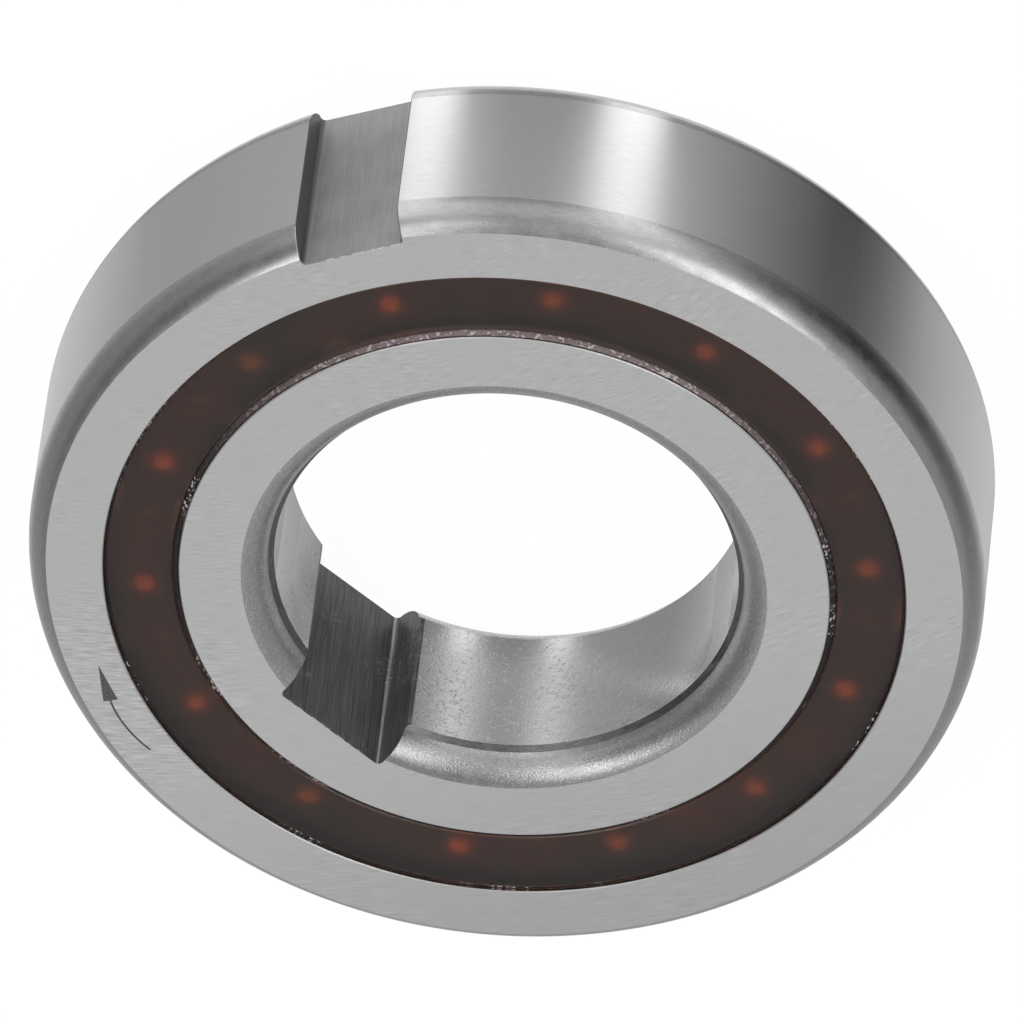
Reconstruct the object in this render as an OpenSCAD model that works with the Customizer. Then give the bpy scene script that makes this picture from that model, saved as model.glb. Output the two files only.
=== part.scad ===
// Sprag clutch bearing: a one-way clutch with balls and sprags side by side in one cage.
// The bearing lies flat, its axis is Z, and the origin is on the axis at the back face.
// Angles are counted counter-clockwise from +X, as seen from the front face at the top.

/* [Rings] */
// Bore of the inner ring
bore_d = 35; // [30:0.5:60]
// Wall of the inner ring, from the bore to the raceway
inner_ring_t = 7; // [6:0.1:10]
// Space between the two raceways
race_space = 5.7; // [5.4:0.05:6]
// Wall of the outer ring, from the raceway to the outside
outer_ring_t = 5.8; // [5:0.1:9]
// Width of both rings
ring_w = 17; // [16.6:0.1:20]
// Small bevel where a raceway meets a face
race_bevel = 0.2; // [0.1:0.05:0.4]
// Radial reach of the rounded corner on the outside
outer_corner_r = 1.5; // [1:0.1:2]
// Axial reach of the rounded corner on the outside
outer_corner_z = 1.6; // [1:0.1:2]
// Radial reach of the rounded corner at the bore
bore_corner_r = 2.3; // [1.8:0.1:2.6]
// Axial reach of the rounded corner at the bore
bore_corner_z = 2.37; // [1.9:0.01:2.8]
// Bevel between the bore and its rounded corner
bore_bevel = 0.4; // [0.2:0.05:0.6]

/* [Keyways] */
// Width of the keyway in the outer ring
outer_key_w = 8; // [6:0.5:10]
// Depth of the keyway in the outer ring
outer_key_depth = 2.3; // [1.5:0.1:2.8]
// Width of the keyway in the inner ring
inner_key_w = 10; // [8:0.5:12]
// Depth of the keyway in the inner ring
inner_key_depth = 2.4; // [1.5:0.1:2.8]
// Fillet at the foot of a keyway's walls
key_fillet = 0.4; // [0.2:0.1:0.8]
// Rounding of the inner keyway's edges at the bore
bore_edge_r = 0.35; // [0.1:0.05:0.6]
// Direction of the outer keyway
outer_key_angle = 270; // [180:1:359]
// Direction of the inner keyway
inner_key_angle = 29; // [0:1:180]

/* [Balls] */
// Length of the pitch circle that one ball and one sprag need
pair_space = 12.2; // [12:0.1:14]
// Diameter of a ball
ball_d = 7.144; // [6.9:0.05:7.3]
// Room between a ball and each groove floor
ball_play = 0.05; // [0.03:0.01:0.08]
// Radius of a ball groove as a share of the ball's diameter
groove_ratio = 0.52; // [0.515:0.005:0.54]
// Direction of the first ball
first_ball_angle = 11.8; // [0:0.1:25]

/* [Sprags] */
// Radius of the two cam faces of a sprag
cam_r = 3.3; // [3.1:0.05:3.6]
// Sideways distance between the centres of the two cam faces
cam_offset = 0.3; // [0.2:0.05:0.4]
// Width of a sprag at its waist
waist_w = 2; // [1.7:0.05:2.2]
// Radius of the hollow flanks
flank_r = 3.9; // [3.7:0.1:4.4]
// Reach of a sprag's corners past its half height
corner_reach = 0.25; // [0.15:0.01:0.35]
// Room between a sprag and each raceway at rest
sprag_play = 0.05; // [0.04:0.01:0.08]
// Room at each end of a sprag
sprag_end_play = 0.1; // [0.05:0.05:0.3]
// Angle by which a sprag can be laid back, in degrees
lay_back = 5; // [3:0.5:6]

/* [Cage] */
// Room between the cage and each raceway
cage_gap = 0.9; // [0.75:0.05:1.1]
// Thickness of the closing ring
closing_t = 1.2; // [1:0.1:1.5]
// Thickness of the cage floor under the sprags
cage_floor_t = 1.2; // [1:0.1:1.5]
// Bevel along the edges of the cage
cage_bevel = 0.3; // [0.1:0.05:0.5]
// Room round a ball in its pocket
pocket_play = 0.12; // [0.08:0.01:0.2]
// Grip of a pocket's snap-in mouth on each side of its ball
mouth_grip = 0.42; // [0.3:0.01:0.6]
// Room between a sprag's waist and the cage
waist_play = 0.25; // [0.2:0.01:0.3]
// Room left between a laid-back sprag and the cage
lay_back_play = 0.08; // [0.05:0.01:0.12]
// Bore of a grease hole in the closing ring
grease_d = 1.8; // [1.2:0.1:2]
// Mouth of a grease hole's countersink
grease_sink_d = 2.6; // [2.2:0.1:2.8]

/* [Pins and springs] */
// Shank diameter of a closing pin
pin_d = 1.2; // [0.8:0.1:1.4]
// Head diameter of a closing pin
pin_head_d = 1.8; // [1.6:0.1:2.2]
// Height of the rounded head
pin_head_h = 0.3; // [0.2:0.05:0.4]
// Depth of a closing pin in the cage
pin_depth = 1.1; // [0.8:0.1:1.3]
// Diameter of a garter spring's coil
spring_d = 0.9; // [0.7:0.05:1]
// Room between a garter spring and what it lies in
spring_play = 0.1; // [0.05:0.01:0.15]

/* [Shields] */
// Depth of a shield below the ring faces
shield_recess = 0.3; // [0.2:0.05:0.5]
// Thickness of a shield
shield_t = 1.2; // [0.9:0.1:1.4]
// Thickness of the rim that snaps into the outer ring
rim_t = 0.75; // [0.5:0.05:0.8]
// Depth of the seat in the outer ring
seat_depth = 0.8; // [0.5:0.1:1]
// Room round the rim in its seat
rim_play = 0.05; // [0.03:0.01:0.1]
// Gap between a shield and the raceway lip around it
shield_edge_gap = 0.12; // [0.1:0.01:0.2]
// Running gap between a shield and the inner ring
shield_bore_gap = 0.42; // [0.3:0.01:0.6]
// Bevel along the top edges of a shield
shield_bevel = 0.15; // [0.1:0.05:0.3]
// Gap between a shield and the heads of the pins
shield_gap = 0.2; // [0.15:0.05:0.4]

/* [Hidden] */
function two_digits(n) = n < 10 ? str("0", n) : str(n);
function ball_name(k) = str("ball_", two_digits(k + 1));
function sprag_name(k) = str("sprag_", two_digits(k + 1));
// As many balls, and as many sprags, as the pitch circle has room for
pairs = floor(PI * (bore_d + 2 * inner_ring_t + race_space) / pair_space);
$fn = 96;

// How far a cutting shape runs past the material that it cuts
past = 2;
// How far the waste at a rounded corner laps into the arc that bounds it
lap = 0.1;
// Swing of the rounded corners from their chord, in degrees
outer_bulge = 20;
bore_bulge = 35;
// Depth of a rounding's centre below the faces it joins, as a share of its radius
edge_reach = 0.995;

mid_z = ring_w / 2;
bore_r = bore_d / 2;
inner_race_r = bore_r + inner_ring_t;
outer_race_r = inner_race_r + race_space;
outer_r = outer_race_r + outer_ring_t;
pitch_r = (inner_race_r + outer_race_r) / 2;
ball_r = ball_d / 2;
groove_r = groove_ratio * ball_d;
inner_groove_r = pitch_r - ball_r - ball_play + groove_r;
outer_groove_r = pitch_r + ball_r + ball_play - groove_r;
pair_angle = 360 / pairs;

seat_r = outer_race_r + seat_depth;
shield_top_z = ring_w - shield_recess;
shield_low_z = shield_top_z - shield_t;
rim_low_z = shield_low_z;
rim_top_z = rim_low_z + rim_t;

closing_top_z = shield_low_z - shield_gap - pin_head_h;
closing_low_z = closing_top_z - closing_t;
cage_low_z = ring_w - closing_top_z;
slot_low_z = cage_low_z + cage_floor_t;
cage_in_r = inner_race_r + cage_gap;
cage_out_r = outer_race_r - cage_gap;
pocket_r = ball_r + pocket_play;
mouth_w = ball_d - 2 * mouth_grip;

sprag_tip_r = race_space / 2 - sprag_play + corner_reach;
sprag_low_z = slot_low_z + sprag_end_play;
sprag_top_z = closing_low_z - sprag_end_play;
spring_r = spring_d / 2;
spring_ring_r = cage_out_r - spring_play - spring_r;
front_spring_z = sprag_top_z - spring_play - spring_r;
back_spring_z = sprag_low_z + spring_play + spring_r;

// Centres of the two cam faces, outwards from the pitch circle
outer_cam_x = sqrt(pow(outer_race_r - sprag_play - cam_r, 2) - pow(cam_offset / 2, 2)) - pitch_r;
inner_cam_x = sqrt(pow(inner_race_r + sprag_play + cam_r, 2) - pow(cam_offset / 2, 2)) - pitch_r;

// Half-width of a sprag at a distance x from its waist
function flank_y(x) = waist_w / 2 + flank_r - sqrt(pow(flank_r, 2) - pow(x, 2));

// The slot is narrow at the waist and widens to let the sprag lay back. Its walls end on the
// curved inside of the cage, where the slot is about as wide as two waists.
slot_reach = pitch_r - sqrt(pow(cage_in_r, 2) - pow(waist_w, 2));
slot_waist_y = waist_w / 2 + waist_play;
laid_back_x = slot_reach + flank_y(slot_reach) * sin(lay_back);
slot_edge_y = flank_y(laid_back_x) + slot_reach * sin(lay_back) + lay_back_play;
slot_flare = slot_edge_y - slot_waist_y;
slot_wall_r = (pow(slot_reach, 2) + pow(slot_flare, 2)) / (2 * slot_flare);

// The spring rebate stays clear of the spring while the sprag lays back
rebate_x = spring_ring_r - spring_r - pitch_r - spring_play - waist_w / 2 * sin(lay_back);

function ball_angle(k) = first_ball_angle + k * pair_angle;
function sprag_angle(k) = ball_angle(k) + pair_angle / 2;

// What a rounded corner takes off, with the corner at the origin and the material in +X, +Y.
// The arc joins (reach_x, 0) to (0, reach_y) and swells towards the corner by the angle bulge.
// With a bevel, the arc starts that far in from the Y axis, on the 45 degree bevel line.
// Without one, that line is lifted to cross the Y axis above the arc's end, outside the material.
module corner_waste(reach_x, reach_y, bulge, bevel = 0) {
    arc_x = reach_x - bevel;
    arc_y = reach_y - bevel;
    half = norm([arc_x, arc_y]) / 2;
    inwards = [arc_y, arc_x] / (2 * half);
    middle = [bevel + arc_x / 2, arc_y / 2] + inwards * half / tan(bulge);
    arc_r = half / sin(bulge);
    line_lift = bevel > 0 ? 0 : 2 * lap;
    difference() {
        polygon([
            [-past, -past],
            [reach_x + lap, -past],
            [reach_x + lap, arc_y - lap],
            [bevel + lap, arc_y - lap + line_lift],
            [-past, reach_y + past + line_lift]
        ]);
        translate(middle) circle(r = arc_r);
    }
}

// Both ends of a ring's section get the same corners
module at_both_faces() {
    children();
    translate([0, ring_w]) mirror([0, 1]) children();
}

// Bevel of a raceway's edge, as a square set on its corner
module race_bevel_waste(race_r) {
    translate([race_r, 0]) rotate(45) square(race_bevel * sqrt(2), center = true);
}

module outer_section() {
    difference() {
        translate([outer_race_r, 0]) square([outer_r - outer_race_r, ring_w]);
        translate([outer_groove_r, mid_z]) circle(r = groove_r);
        at_both_faces() {
            translate([outer_r, 0]) mirror([1, 0])
                corner_waste(outer_corner_r, outer_corner_z, outer_bulge);
            race_bevel_waste(outer_race_r);
            // Seat for the shield's rim
            translate([outer_race_r - past, ring_w - rim_top_z - rim_play])
                square([past + seat_depth, rim_t + 2 * rim_play]);
        }
    }
}

module inner_section() {
    difference() {
        translate([bore_r, 0]) square([inner_race_r - bore_r, ring_w]);
        translate([inner_groove_r, mid_z]) circle(r = groove_r);
        at_both_faces() {
            translate([bore_r, 0])
                corner_waste(bore_corner_r, bore_corner_z, bore_bulge, bore_bevel);
            race_bevel_waste(inner_race_r);
        }
    }
}

// Section of a keyway, with its floor on the line X = 0, filleted feet, and its mouth towards +X
module key_section(width, depth) {
    translate([key_fillet, -width / 2]) square([depth + past, width]);
    translate([0, key_fillet - width / 2]) square([2 * key_fillet, width - 2 * key_fillet]);
    for (side = [-1, 1])
        translate([key_fillet, side * (width / 2 - key_fillet)]) circle(r = key_fillet);
}

module keyway(width, depth, floor_r, inwards) {
    translate([floor_r, 0, -past])
        rotate(inwards ? 180 : 0)
            linear_extrude(ring_w + 2 * past) key_section(width, depth);
}

// What rounding takes off the two edges where the inner keyway's walls meet the bore.
// Its circle crosses the wall and the bore instead of only touching them.
module bore_edge_waste() {
    middle_deep = edge_reach * bore_edge_r;
    middle_y = inner_key_w / 2 + middle_deep;
    middle_x = sqrt(pow(bore_r + middle_deep, 2) - pow(middle_y, 2));
    void_end = [middle_x, middle_y] * (bore_r - lap) / (bore_r + middle_deep);
    void_y = inner_key_w / 2 - lap;
    translate([0, 0, -past]) linear_extrude(ring_w + 2 * past)
        for (side = [0, 1])
            mirror([0, side]) difference() {
                polygon([
                    [middle_x, middle_y],
                    [middle_x, void_y],
                    [void_end[0], void_y],
                    void_end
                ]);
                translate([middle_x, middle_y]) circle(r = bore_edge_r);
            }
}

// Steel ring with the outer raceways, the shield seats and a keyway
module outer_ring() {
    color("lightgray") difference() {
        rotate_extrude() outer_section();
        rotate(outer_key_angle)
            keyway(outer_key_w, outer_key_depth, outer_r - outer_key_depth, false);
    }
}

// Steel ring with the bore, the inner raceways and a keyway
module inner_ring() {
    color("silver") difference() {
        rotate_extrude() inner_section();
        rotate(inner_key_angle) {
            keyway(inner_key_w, inner_key_depth, bore_r + inner_key_depth, true);
            bore_edge_waste();
        }
    }
}

// Moulded shield: a disc with a thinner rim that snaps into the outer ring's seat
module shield() {
    color([0.27, 0.2, 0.19]) rotate_extrude() polygon([
        [inner_race_r + shield_bore_gap, shield_low_z],
        [seat_r - rim_play, rim_low_z],
        [seat_r - rim_play, rim_top_z],
        [outer_race_r - shield_edge_gap, rim_top_z],
        [outer_race_r - shield_edge_gap, shield_top_z - shield_bevel],
        [outer_race_r - shield_edge_gap - shield_bevel, shield_top_z],
        [inner_race_r + shield_bore_gap + shield_bevel, shield_top_z],
        [inner_race_r + shield_bore_gap, shield_top_z - shield_bevel]
    ]);
}

module front_shield() {
    shield();
}

module back_shield() {
    translate([0, 0, ring_w]) mirror([0, 0, 1]) shield();
}

module cage_section() {
    difference() {
        polygon([
            [cage_in_r + cage_bevel, cage_low_z],
            [cage_out_r - cage_bevel, cage_low_z],
            [cage_out_r, cage_low_z + cage_bevel],
            [cage_out_r, closing_low_z],
            [cage_in_r, closing_low_z],
            [cage_in_r, cage_low_z + cage_bevel]
        ]);
        // Open rebate for the front spring, which the closing ring covers
        translate([spring_ring_r - spring_r - spring_play, front_spring_z - spring_r - spring_play])
            square([spring_d + past, spring_d + past]);
        // Groove for the back spring
        translate([spring_ring_r, back_spring_z]) {
            circle(r = spring_r + spring_play);
            translate([0, -spring_r - spring_play]) square([spring_d, spring_d + 2 * spring_play]);
        }
    }
}

// Plan of a sprag slot: the walls swell inwards to guide the sprag's waist
module slot_plan() {
    difference() {
        square([2 * (slot_reach + past), 2 * slot_edge_y], center = true);
        for (side = [-1, 1])
            translate([0, side * (slot_waist_y + slot_wall_r)]) circle(r = slot_wall_r);
    }
}

// Moulded cage: ball pockets open to the back, sprag slots open to the front
module cage() {
    color([0.2, 0.15, 0.13]) difference() {
        rotate_extrude() cage_section();
        for (k = [0:pairs - 1]) {
            rotate(ball_angle(k)) translate([pitch_r, 0, mid_z]) {
                sphere(r = pocket_r);
                translate([-cage_gap - slot_reach, -mouth_w / 2, -ring_w])
                    cube([2 * (cage_gap + slot_reach), mouth_w, ring_w]);
                translate([0, 0, closing_low_z - pin_depth - mid_z])
                    cylinder(d = pin_d, h = pin_depth + past);
            }
            rotate(sprag_angle(k)) translate([pitch_r, 0, slot_low_z])
                linear_extrude(ring_w) slot_plan();
        }
    }
}

// Flat ring that closes the sprag slots, with a grease hole over each sprag
module closing_ring() {
    color([0.24, 0.18, 0.16]) difference() {
        rotate_extrude() polygon([
            [cage_in_r, closing_low_z],
            [cage_out_r, closing_low_z],
            [cage_out_r, closing_top_z - cage_bevel],
            [cage_out_r - cage_bevel, closing_top_z],
            [cage_in_r + cage_bevel, closing_top_z],
            [cage_in_r, closing_top_z - cage_bevel]
        ]);
        for (k = [0:pairs - 1]) {
            rotate(ball_angle(k)) translate([pitch_r, 0, closing_low_z - past])
                cylinder(d = pin_d, h = closing_t + 2 * past);
            rotate(sprag_angle(k)) translate([pitch_r, 0, closing_low_z]) {
                translate([0, 0, -past]) cylinder(d = grease_d, h = closing_t + 2 * past);
                translate([0, 0, closing_t - (grease_sink_d - grease_d) / 2])
                    cylinder(d1 = grease_d, d2 = grease_sink_d, h = (grease_sink_d - grease_d) / 2);
            }
        }
    }
}

// A pin with a low rounded head, its shank in the cage above a ball
module closing_pin() {
    head_ball_r = (pow(pin_head_d / 2, 2) + pow(pin_head_h, 2)) / (2 * pin_head_h);
    translate([0, 0, closing_low_z - pin_depth]) cylinder(d = pin_d, h = pin_depth + closing_t);
    intersection() {
        translate([0, 0, closing_top_z + pin_head_h - head_ball_r]) sphere(r = head_ball_r);
        translate([0, 0, closing_top_z]) cylinder(d = pin_head_d + past, h = pin_head_h + past);
    }
}

module closing_pins() {
    color("peru") for (k = [0:pairs - 1])
        rotate(ball_angle(k)) translate([pitch_r, 0, 0]) closing_pin();
}

// Garter spring, drawn as the outer shape of its coil
module garter_spring(z) {
    color("gainsboro") translate([0, 0, z])
        rotate_extrude() translate([spring_ring_r, 0]) circle(d = spring_d);
}

module front_spring() {
    garter_spring(front_spring_z);
}

module back_spring() {
    garter_spring(back_spring_z);
}

module ball(k) {
    color("whitesmoke") rotate(ball_angle(k)) translate([pitch_r, 0, mid_z]) sphere(d = ball_d);
}

// Section of a sprag. +X points outwards along a radius. The two cam faces have their centres
// on opposite sides, so the sprag grows taller as it is turned counter-clockwise.
module sprag_section() {
    difference() {
        intersection() {
            translate([outer_cam_x, -cam_offset / 2]) circle(r = cam_r);
            translate([inner_cam_x, cam_offset / 2]) circle(r = cam_r);
            circle(r = sprag_tip_r);
        }
        for (side = [-1, 1])
            translate([0, side * (waist_w / 2 + flank_r)]) circle(r = flank_r);
    }
}

// Hardened sprag, rebated at both ends of its outer head for the garter springs
module sprag(k) {
    rebate_w = sprag_top_z - front_spring_z + spring_r + spring_play;
    color("darkgray") rotate(sprag_angle(k)) translate([pitch_r, 0, 0]) difference() {
        translate([0, 0, sprag_low_z]) linear_extrude(sprag_top_z - sprag_low_z) sprag_section();
        translate([rebate_x, -cam_r, sprag_top_z - rebate_w])
            cube([cam_r, 2 * cam_r, rebate_w + past]);
        translate([rebate_x, -cam_r, sprag_low_z - past])
            cube([cam_r, 2 * cam_r, rebate_w + past]);
    }
}

outer_ring();
inner_ring();
front_shield();
back_shield();
cage();
closing_ring();
closing_pins();
front_spring();
back_spring();
for (k = [0:pairs - 1]) {
    ball(k);
    sprag(k);
}
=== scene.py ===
import math

import bpy
import numpy as np
from mathutils import Matrix, Vector


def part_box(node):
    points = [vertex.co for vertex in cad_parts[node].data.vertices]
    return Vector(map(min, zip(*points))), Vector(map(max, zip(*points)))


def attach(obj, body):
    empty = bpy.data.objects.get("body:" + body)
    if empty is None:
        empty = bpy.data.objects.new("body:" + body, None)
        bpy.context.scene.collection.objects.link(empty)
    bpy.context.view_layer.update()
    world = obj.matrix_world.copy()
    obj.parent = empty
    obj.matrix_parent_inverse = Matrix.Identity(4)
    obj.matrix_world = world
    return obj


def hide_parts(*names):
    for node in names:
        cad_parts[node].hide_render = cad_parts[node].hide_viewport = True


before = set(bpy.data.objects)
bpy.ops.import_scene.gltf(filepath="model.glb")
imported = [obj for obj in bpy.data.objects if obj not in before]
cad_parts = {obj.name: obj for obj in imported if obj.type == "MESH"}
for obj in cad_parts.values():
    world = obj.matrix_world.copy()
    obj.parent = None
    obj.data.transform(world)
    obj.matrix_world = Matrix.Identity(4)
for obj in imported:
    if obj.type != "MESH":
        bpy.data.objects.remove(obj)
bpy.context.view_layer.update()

MM = 0.001
TURN = 2 * math.pi

# Camera
# A long lens far above the front face, turned almost upside down, as the photograph
# was taken. Its place and direction are in the bearing's own frame.
camera_place = np.array([-408.809, -888.793, 1152.224]) * MM
camera_right = np.array([-0.940571, 0.330107, -0.079717])
camera_up = -np.array([0.203834, 0.736533, 0.644957])
camera_data = bpy.data.cameras.new("camera")
film_width = 36
focal_length = 702.663
camera_data.sensor_width = film_width
camera_data.lens = focal_length
camera_data.clip_start = 0.05
camera_data.clip_end = 30
camera = bpy.data.objects.new("camera", camera_data)
camera_axes = np.eye(4)
camera_axes[:3, 0] = camera_right
camera_axes[:3, 1] = camera_up
camera_axes[:3, 2] = np.cross(camera_right, camera_up)
camera_axes[:3, 3] = camera_place
camera.matrix_world = Matrix(camera_axes.tolist())
bpy.context.collection.objects.link(camera)
bpy.context.scene.camera = camera
bpy.context.scene.view_settings.view_transform = "Standard"


# Studio
# A white floor that keeps a faint shadow and is clear from below, and a dim tent with two
# upright strip lamps and two sails of light over them. Two cards on the floor carry the
# lamps' light to the steel.
def put(tree, kind, wires, out=0, **settings):
    """Adds one node: its settings, then each input by name or number, as a socket or a value."""
    node = tree.nodes.new(kind)
    for key, value in settings.items():
        setattr(node, key, value)
    for key, value in wires.items():
        if isinstance(value, bpy.types.NodeSocket):
            tree.links.new(value, node.inputs[key])
        else:
            node.inputs[key].default_value = value
    return node.outputs[out] if node.outputs else None


def calc(tree, operation, *values):
    """A Math node on up to three sockets or numbers."""
    return put(tree, "ShaderNodeMath", dict(enumerate(values)), operation=operation)


def fade(tree, value, low, high, to_low=0.0, to_high=1.0):
    """Smooth step: to_low below low, to_high above high, and an S curve between them."""
    wires = {"Value": value, "From Min": low, "From Max": high, "To Min": to_low, "To Max": to_high}
    return put(tree, "ShaderNodeMapRange", wires, interpolation_type="SMOOTHSTEP")


def mix(tree, share, first, second, how="MIX"):
    """Colour between first and second, by share."""
    return put(tree, "ShaderNodeMix", {0: share, 6: first, 7: second}, 2,
               data_type="RGBA", blend_type=how)


def grey(level):
    """A neutral colour."""
    return (level, level, level, 1)


def split(tree, vector):
    """The three numbers of a vector."""
    node = tree.nodes.new("ShaderNodeSeparateXYZ")
    tree.links.new(vector, node.inputs[0])
    return node.outputs


def bands(tree, value, stops):
    """Grey level along a value from 0 to 1, straight from each (place, level) to the next."""
    node = tree.nodes.new("ShaderNodeValToRGB")
    ramp = node.color_ramp
    for place, level in stops[2:]:
        ramp.elements.new(place)
    for element, (place, level) in zip(ramp.elements, stops):
        element.position = place
        element.color = grey(level)
    tree.links.new(value, node.inputs["Fac"])
    return node.outputs["Color"]


def compass(tree, x, y):
    """Direction of (x, y) as a share of a full turn, from 0 to 1, counter-clockwise from +X."""
    return calc(tree, "FRACT", calc(tree, "ADD", calc(
        tree, "DIVIDE", calc(tree, "ARCTAN2", y, x), TURN), 1.0))


def degrees(stops):
    """Stops given in degrees, as shares of a full turn."""
    return [(angle / 360, level) for angle, level in stops]


def new_material(name):
    """An empty material and its node tree."""
    material = bpy.data.materials.new(name)
    material.use_nodes = True
    material.node_tree.nodes.clear()
    return material, material.node_tree


def surface(tree, shader):
    """Joins a shader to the material's output."""
    put(tree, "ShaderNodeOutputMaterial", {"Surface": shader})


def add_piece(name, mesh, materials):
    """A new object at the origin, with its materials in order."""
    piece = bpy.data.objects.new(name, mesh)
    bpy.context.collection.objects.link(piece)
    for material in materials:
        mesh.materials.append(material)
    return piece


def weave(rows, columns, closed=True):
    """Faces of a grid of points, numbered row after row. Each face joins a point, the next one
    in its row, and the same two in the row above: (i, j), (i, j + 1), (i + 1, j + 1) and
    (i + 1, j). Each row closes on itself, and the last row joins the first if closed."""
    i, j = np.meshgrid(np.arange(rows if closed else rows - 1), np.arange(columns),
                       indexing="ij")
    up, on = (i + 1) % rows, (j + 1) % columns
    return np.stack([i * columns + j, i * columns + on, up * columns + on, up * columns + j],
                    axis=2).reshape(-1, 4)


def new_mesh(name, points, faces):
    """A mesh from an array of points in mm and a list of faces."""
    mesh = bpy.data.meshes.new(name)
    mesh.from_pydata((points.reshape(-1, 3) * MM).tolist(), [], faces)
    return mesh


# How much of the floor glows evenly, and how brightly; the rest of it takes the shadow
floor_white = 0.94
floor_glow = 1.025
paper_material, tree = new_material("studio_paper")
ray = tree.nodes.new("ShaderNodeLightPath").outputs
seen = calc(tree, "MAXIMUM", ray["Is Camera Ray"],
            calc(tree, "MAXIMUM", ray["Is Glossy Ray"], ray["Is Transmission Ray"]))
paper = put(tree, "ShaderNodeMixShader", {
    0: calc(tree, "MULTIPLY", seen, floor_white),
    1: put(tree, "ShaderNodeBsdfDiffuse", {"Color": grey(0.9)}),
    2: put(tree, "ShaderNodeEmission", {"Color": grey(1), "Strength": floor_glow})})
from_below = put(tree, "ShaderNodeNewGeometry", {}, "Backfacing")
surface(tree, put(tree, "ShaderNodeMixShader", {
    0: calc(tree, "MULTIPLY", from_below, ray["Is Camera Ray"]), 1: paper,
    2: put(tree, "ShaderNodeBsdfTransparent", {})}))


def lofted_disc(name, inner_r, way, rows):
    """Sheet round the axis. A column starts at a direction phi on the circle inner_r and runs
    along the level line in which steel that faces phi (way 1) or its opposite (way -1)
    mirrors the camera's view: as far past the steel's own direction as the camera is short
    of it. Rows are (distance, height, far); the attribute lamp_way keeps the line's
    direction in x and y, and far in z."""
    columns = 360
    camera_way = math.atan2(camera_place[1], camera_place[0])
    phi = np.linspace(0, TURN, columns, endpoint=False)
    facing = phi if way > 0 else phi + TURN / 2
    past = (facing - camera_way + TURN / 2) % TURN - TURN / 2
    # Steel that faces away from the camera mirrors nothing to it: its lines fan in evenly
    limit = math.radians(88)
    past = np.where(np.abs(past) < limit, past,
                    np.sign(past) * (TURN / 2 - np.abs(past)) * limit / (TURN / 2 - limit))
    mirrored = np.exp(1j * (facing + past))
    reach, height, far = np.array(rows).T
    plan = inner_r * np.exp(1j * phi)[None, :] + reach[:, None] * mirrored[None, :]
    points = np.stack([plan.real, plan.imag, np.repeat(height[:, None], columns, axis=1)],
                      axis=2)
    # The faces look up, so their corners go round the other way
    faces = weave(len(rows), columns, closed=False)[:, [0, 3, 2, 1]]
    mesh = new_mesh(name, points, faces.tolist())
    ways = np.stack([np.tile(mirrored.real, (len(rows), 1)),
                     np.tile(mirrored.imag, (len(rows), 1)),
                     np.repeat(far[:, None], columns, axis=1)], axis=2)
    mesh.attributes.new("lamp_way", "FLOAT_VECTOR", "POINT").data.foreach_set(
        "vector", ways.ravel())
    return mesh


floor_reach, floor_height = 6000, -0.1
floor_disc = lofted_disc("studio_floor", 0.1, 1, [
    (0, floor_height, 0), (floor_reach, floor_height, 0)])
add_piece("studio_floor", floor_disc, [paper_material])

# Brightness by direction, low down: the two strips, the tent's grey sides and its dark back
strip_light = degrees([
    (0, 0.54), (20, 0.68), (45, 0.78), (60, 0.76), (71, 0.48), (77, 0.50), (84, 0.72),
    (107, 0.70), (128, 0.60), (140, 0.50), (148, 0.33), (157, 0.20), (165, 0.12), (173, 0.115),
    (190, 0.25), (212, 0.47), (218, 0.54), (223, 1.50), (227, 1.72), (233, 1.52), (238, 0.64),
    (244, 0.46), (258, 0.47), (267, 0.62), (273, 1.56), (280, 1.62), (286, 0.74), (293, 0.57),
    (320, 0.52), (340, 0.48)])
# The same at the horizon, and a little over it
horizon_light = degrees([
    (0, 0.33), (25, 0.42), (55, 0.53), (85, 0.50), (115, 0.41), (145, 0.17), (165, 0.045),
    (179, 0.045), (195, 0.12), (204, 0.25), (211, 0.48), (218, 0.92), (224, 1.65), (232, 1.55),
    (238, 0.80), (255, 0.66), (263, 0.98), (271, 1.60), (280, 1.75), (290, 0.75), (300, 0.45),
    (325, 0.35)])
low_light = degrees([
    (0, 0.25), (48, 0.36), (66, 0.44), (84, 0.44), (120, 0.47), (150, 0.42), (166, 0.30),
    (182, 0.30), (204, 0.52), (214, 0.85), (223, 1.15), (233, 1.05), (240, 0.54), (252, 0.38),
    (260, 0.66), (270, 1.05), (280, 0.55), (290, 0.32), (312, 0.24), (340, 0.21)])
# Each card's inner radius, the side of the steel, its rows of (distance, height, far) and its
# strength
cards = {
    "outer_card": (36.0, 1, [(0, 0.05, 0), (22, 0.05, 0), (44, 0.05, 1), (2000, 0.05, 1)], 1.0),
    "bore_card": (17.5, -1, [(0, 0.05, 0), (5, 0.05, 0), (5, 9.5, 0), (5, 11.5, 1), (5, 15, 1)],
                  0.86),
}


def mirrored_only(card):
    """Marks a card as stage, met by no rays but those that shiny surfaces send out."""
    for kind in ("camera", "diffuse", "transmission", "volume_scatter", "shadow"):
        setattr(card, "visible_" + kind, False)


for name, (inner_r, way, rows, strength) in cards.items():
    material, tree = new_material(name)
    axes = split(tree, put(tree, "ShaderNodeAttribute", {}, "Vector", attribute_name="lamp_way"))
    around = compass(tree, axes[0], axes[1])
    level = mix(tree, axes[2], bands(tree, around, strip_light),
                bands(tree, around, horizon_light))
    surface(tree, put(tree, "ShaderNodeEmission", {"Color": level, "Strength": strength}))
    mirrored_only(add_piece(name, lofted_disc(name, inner_r, way, rows), [material]))

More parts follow.
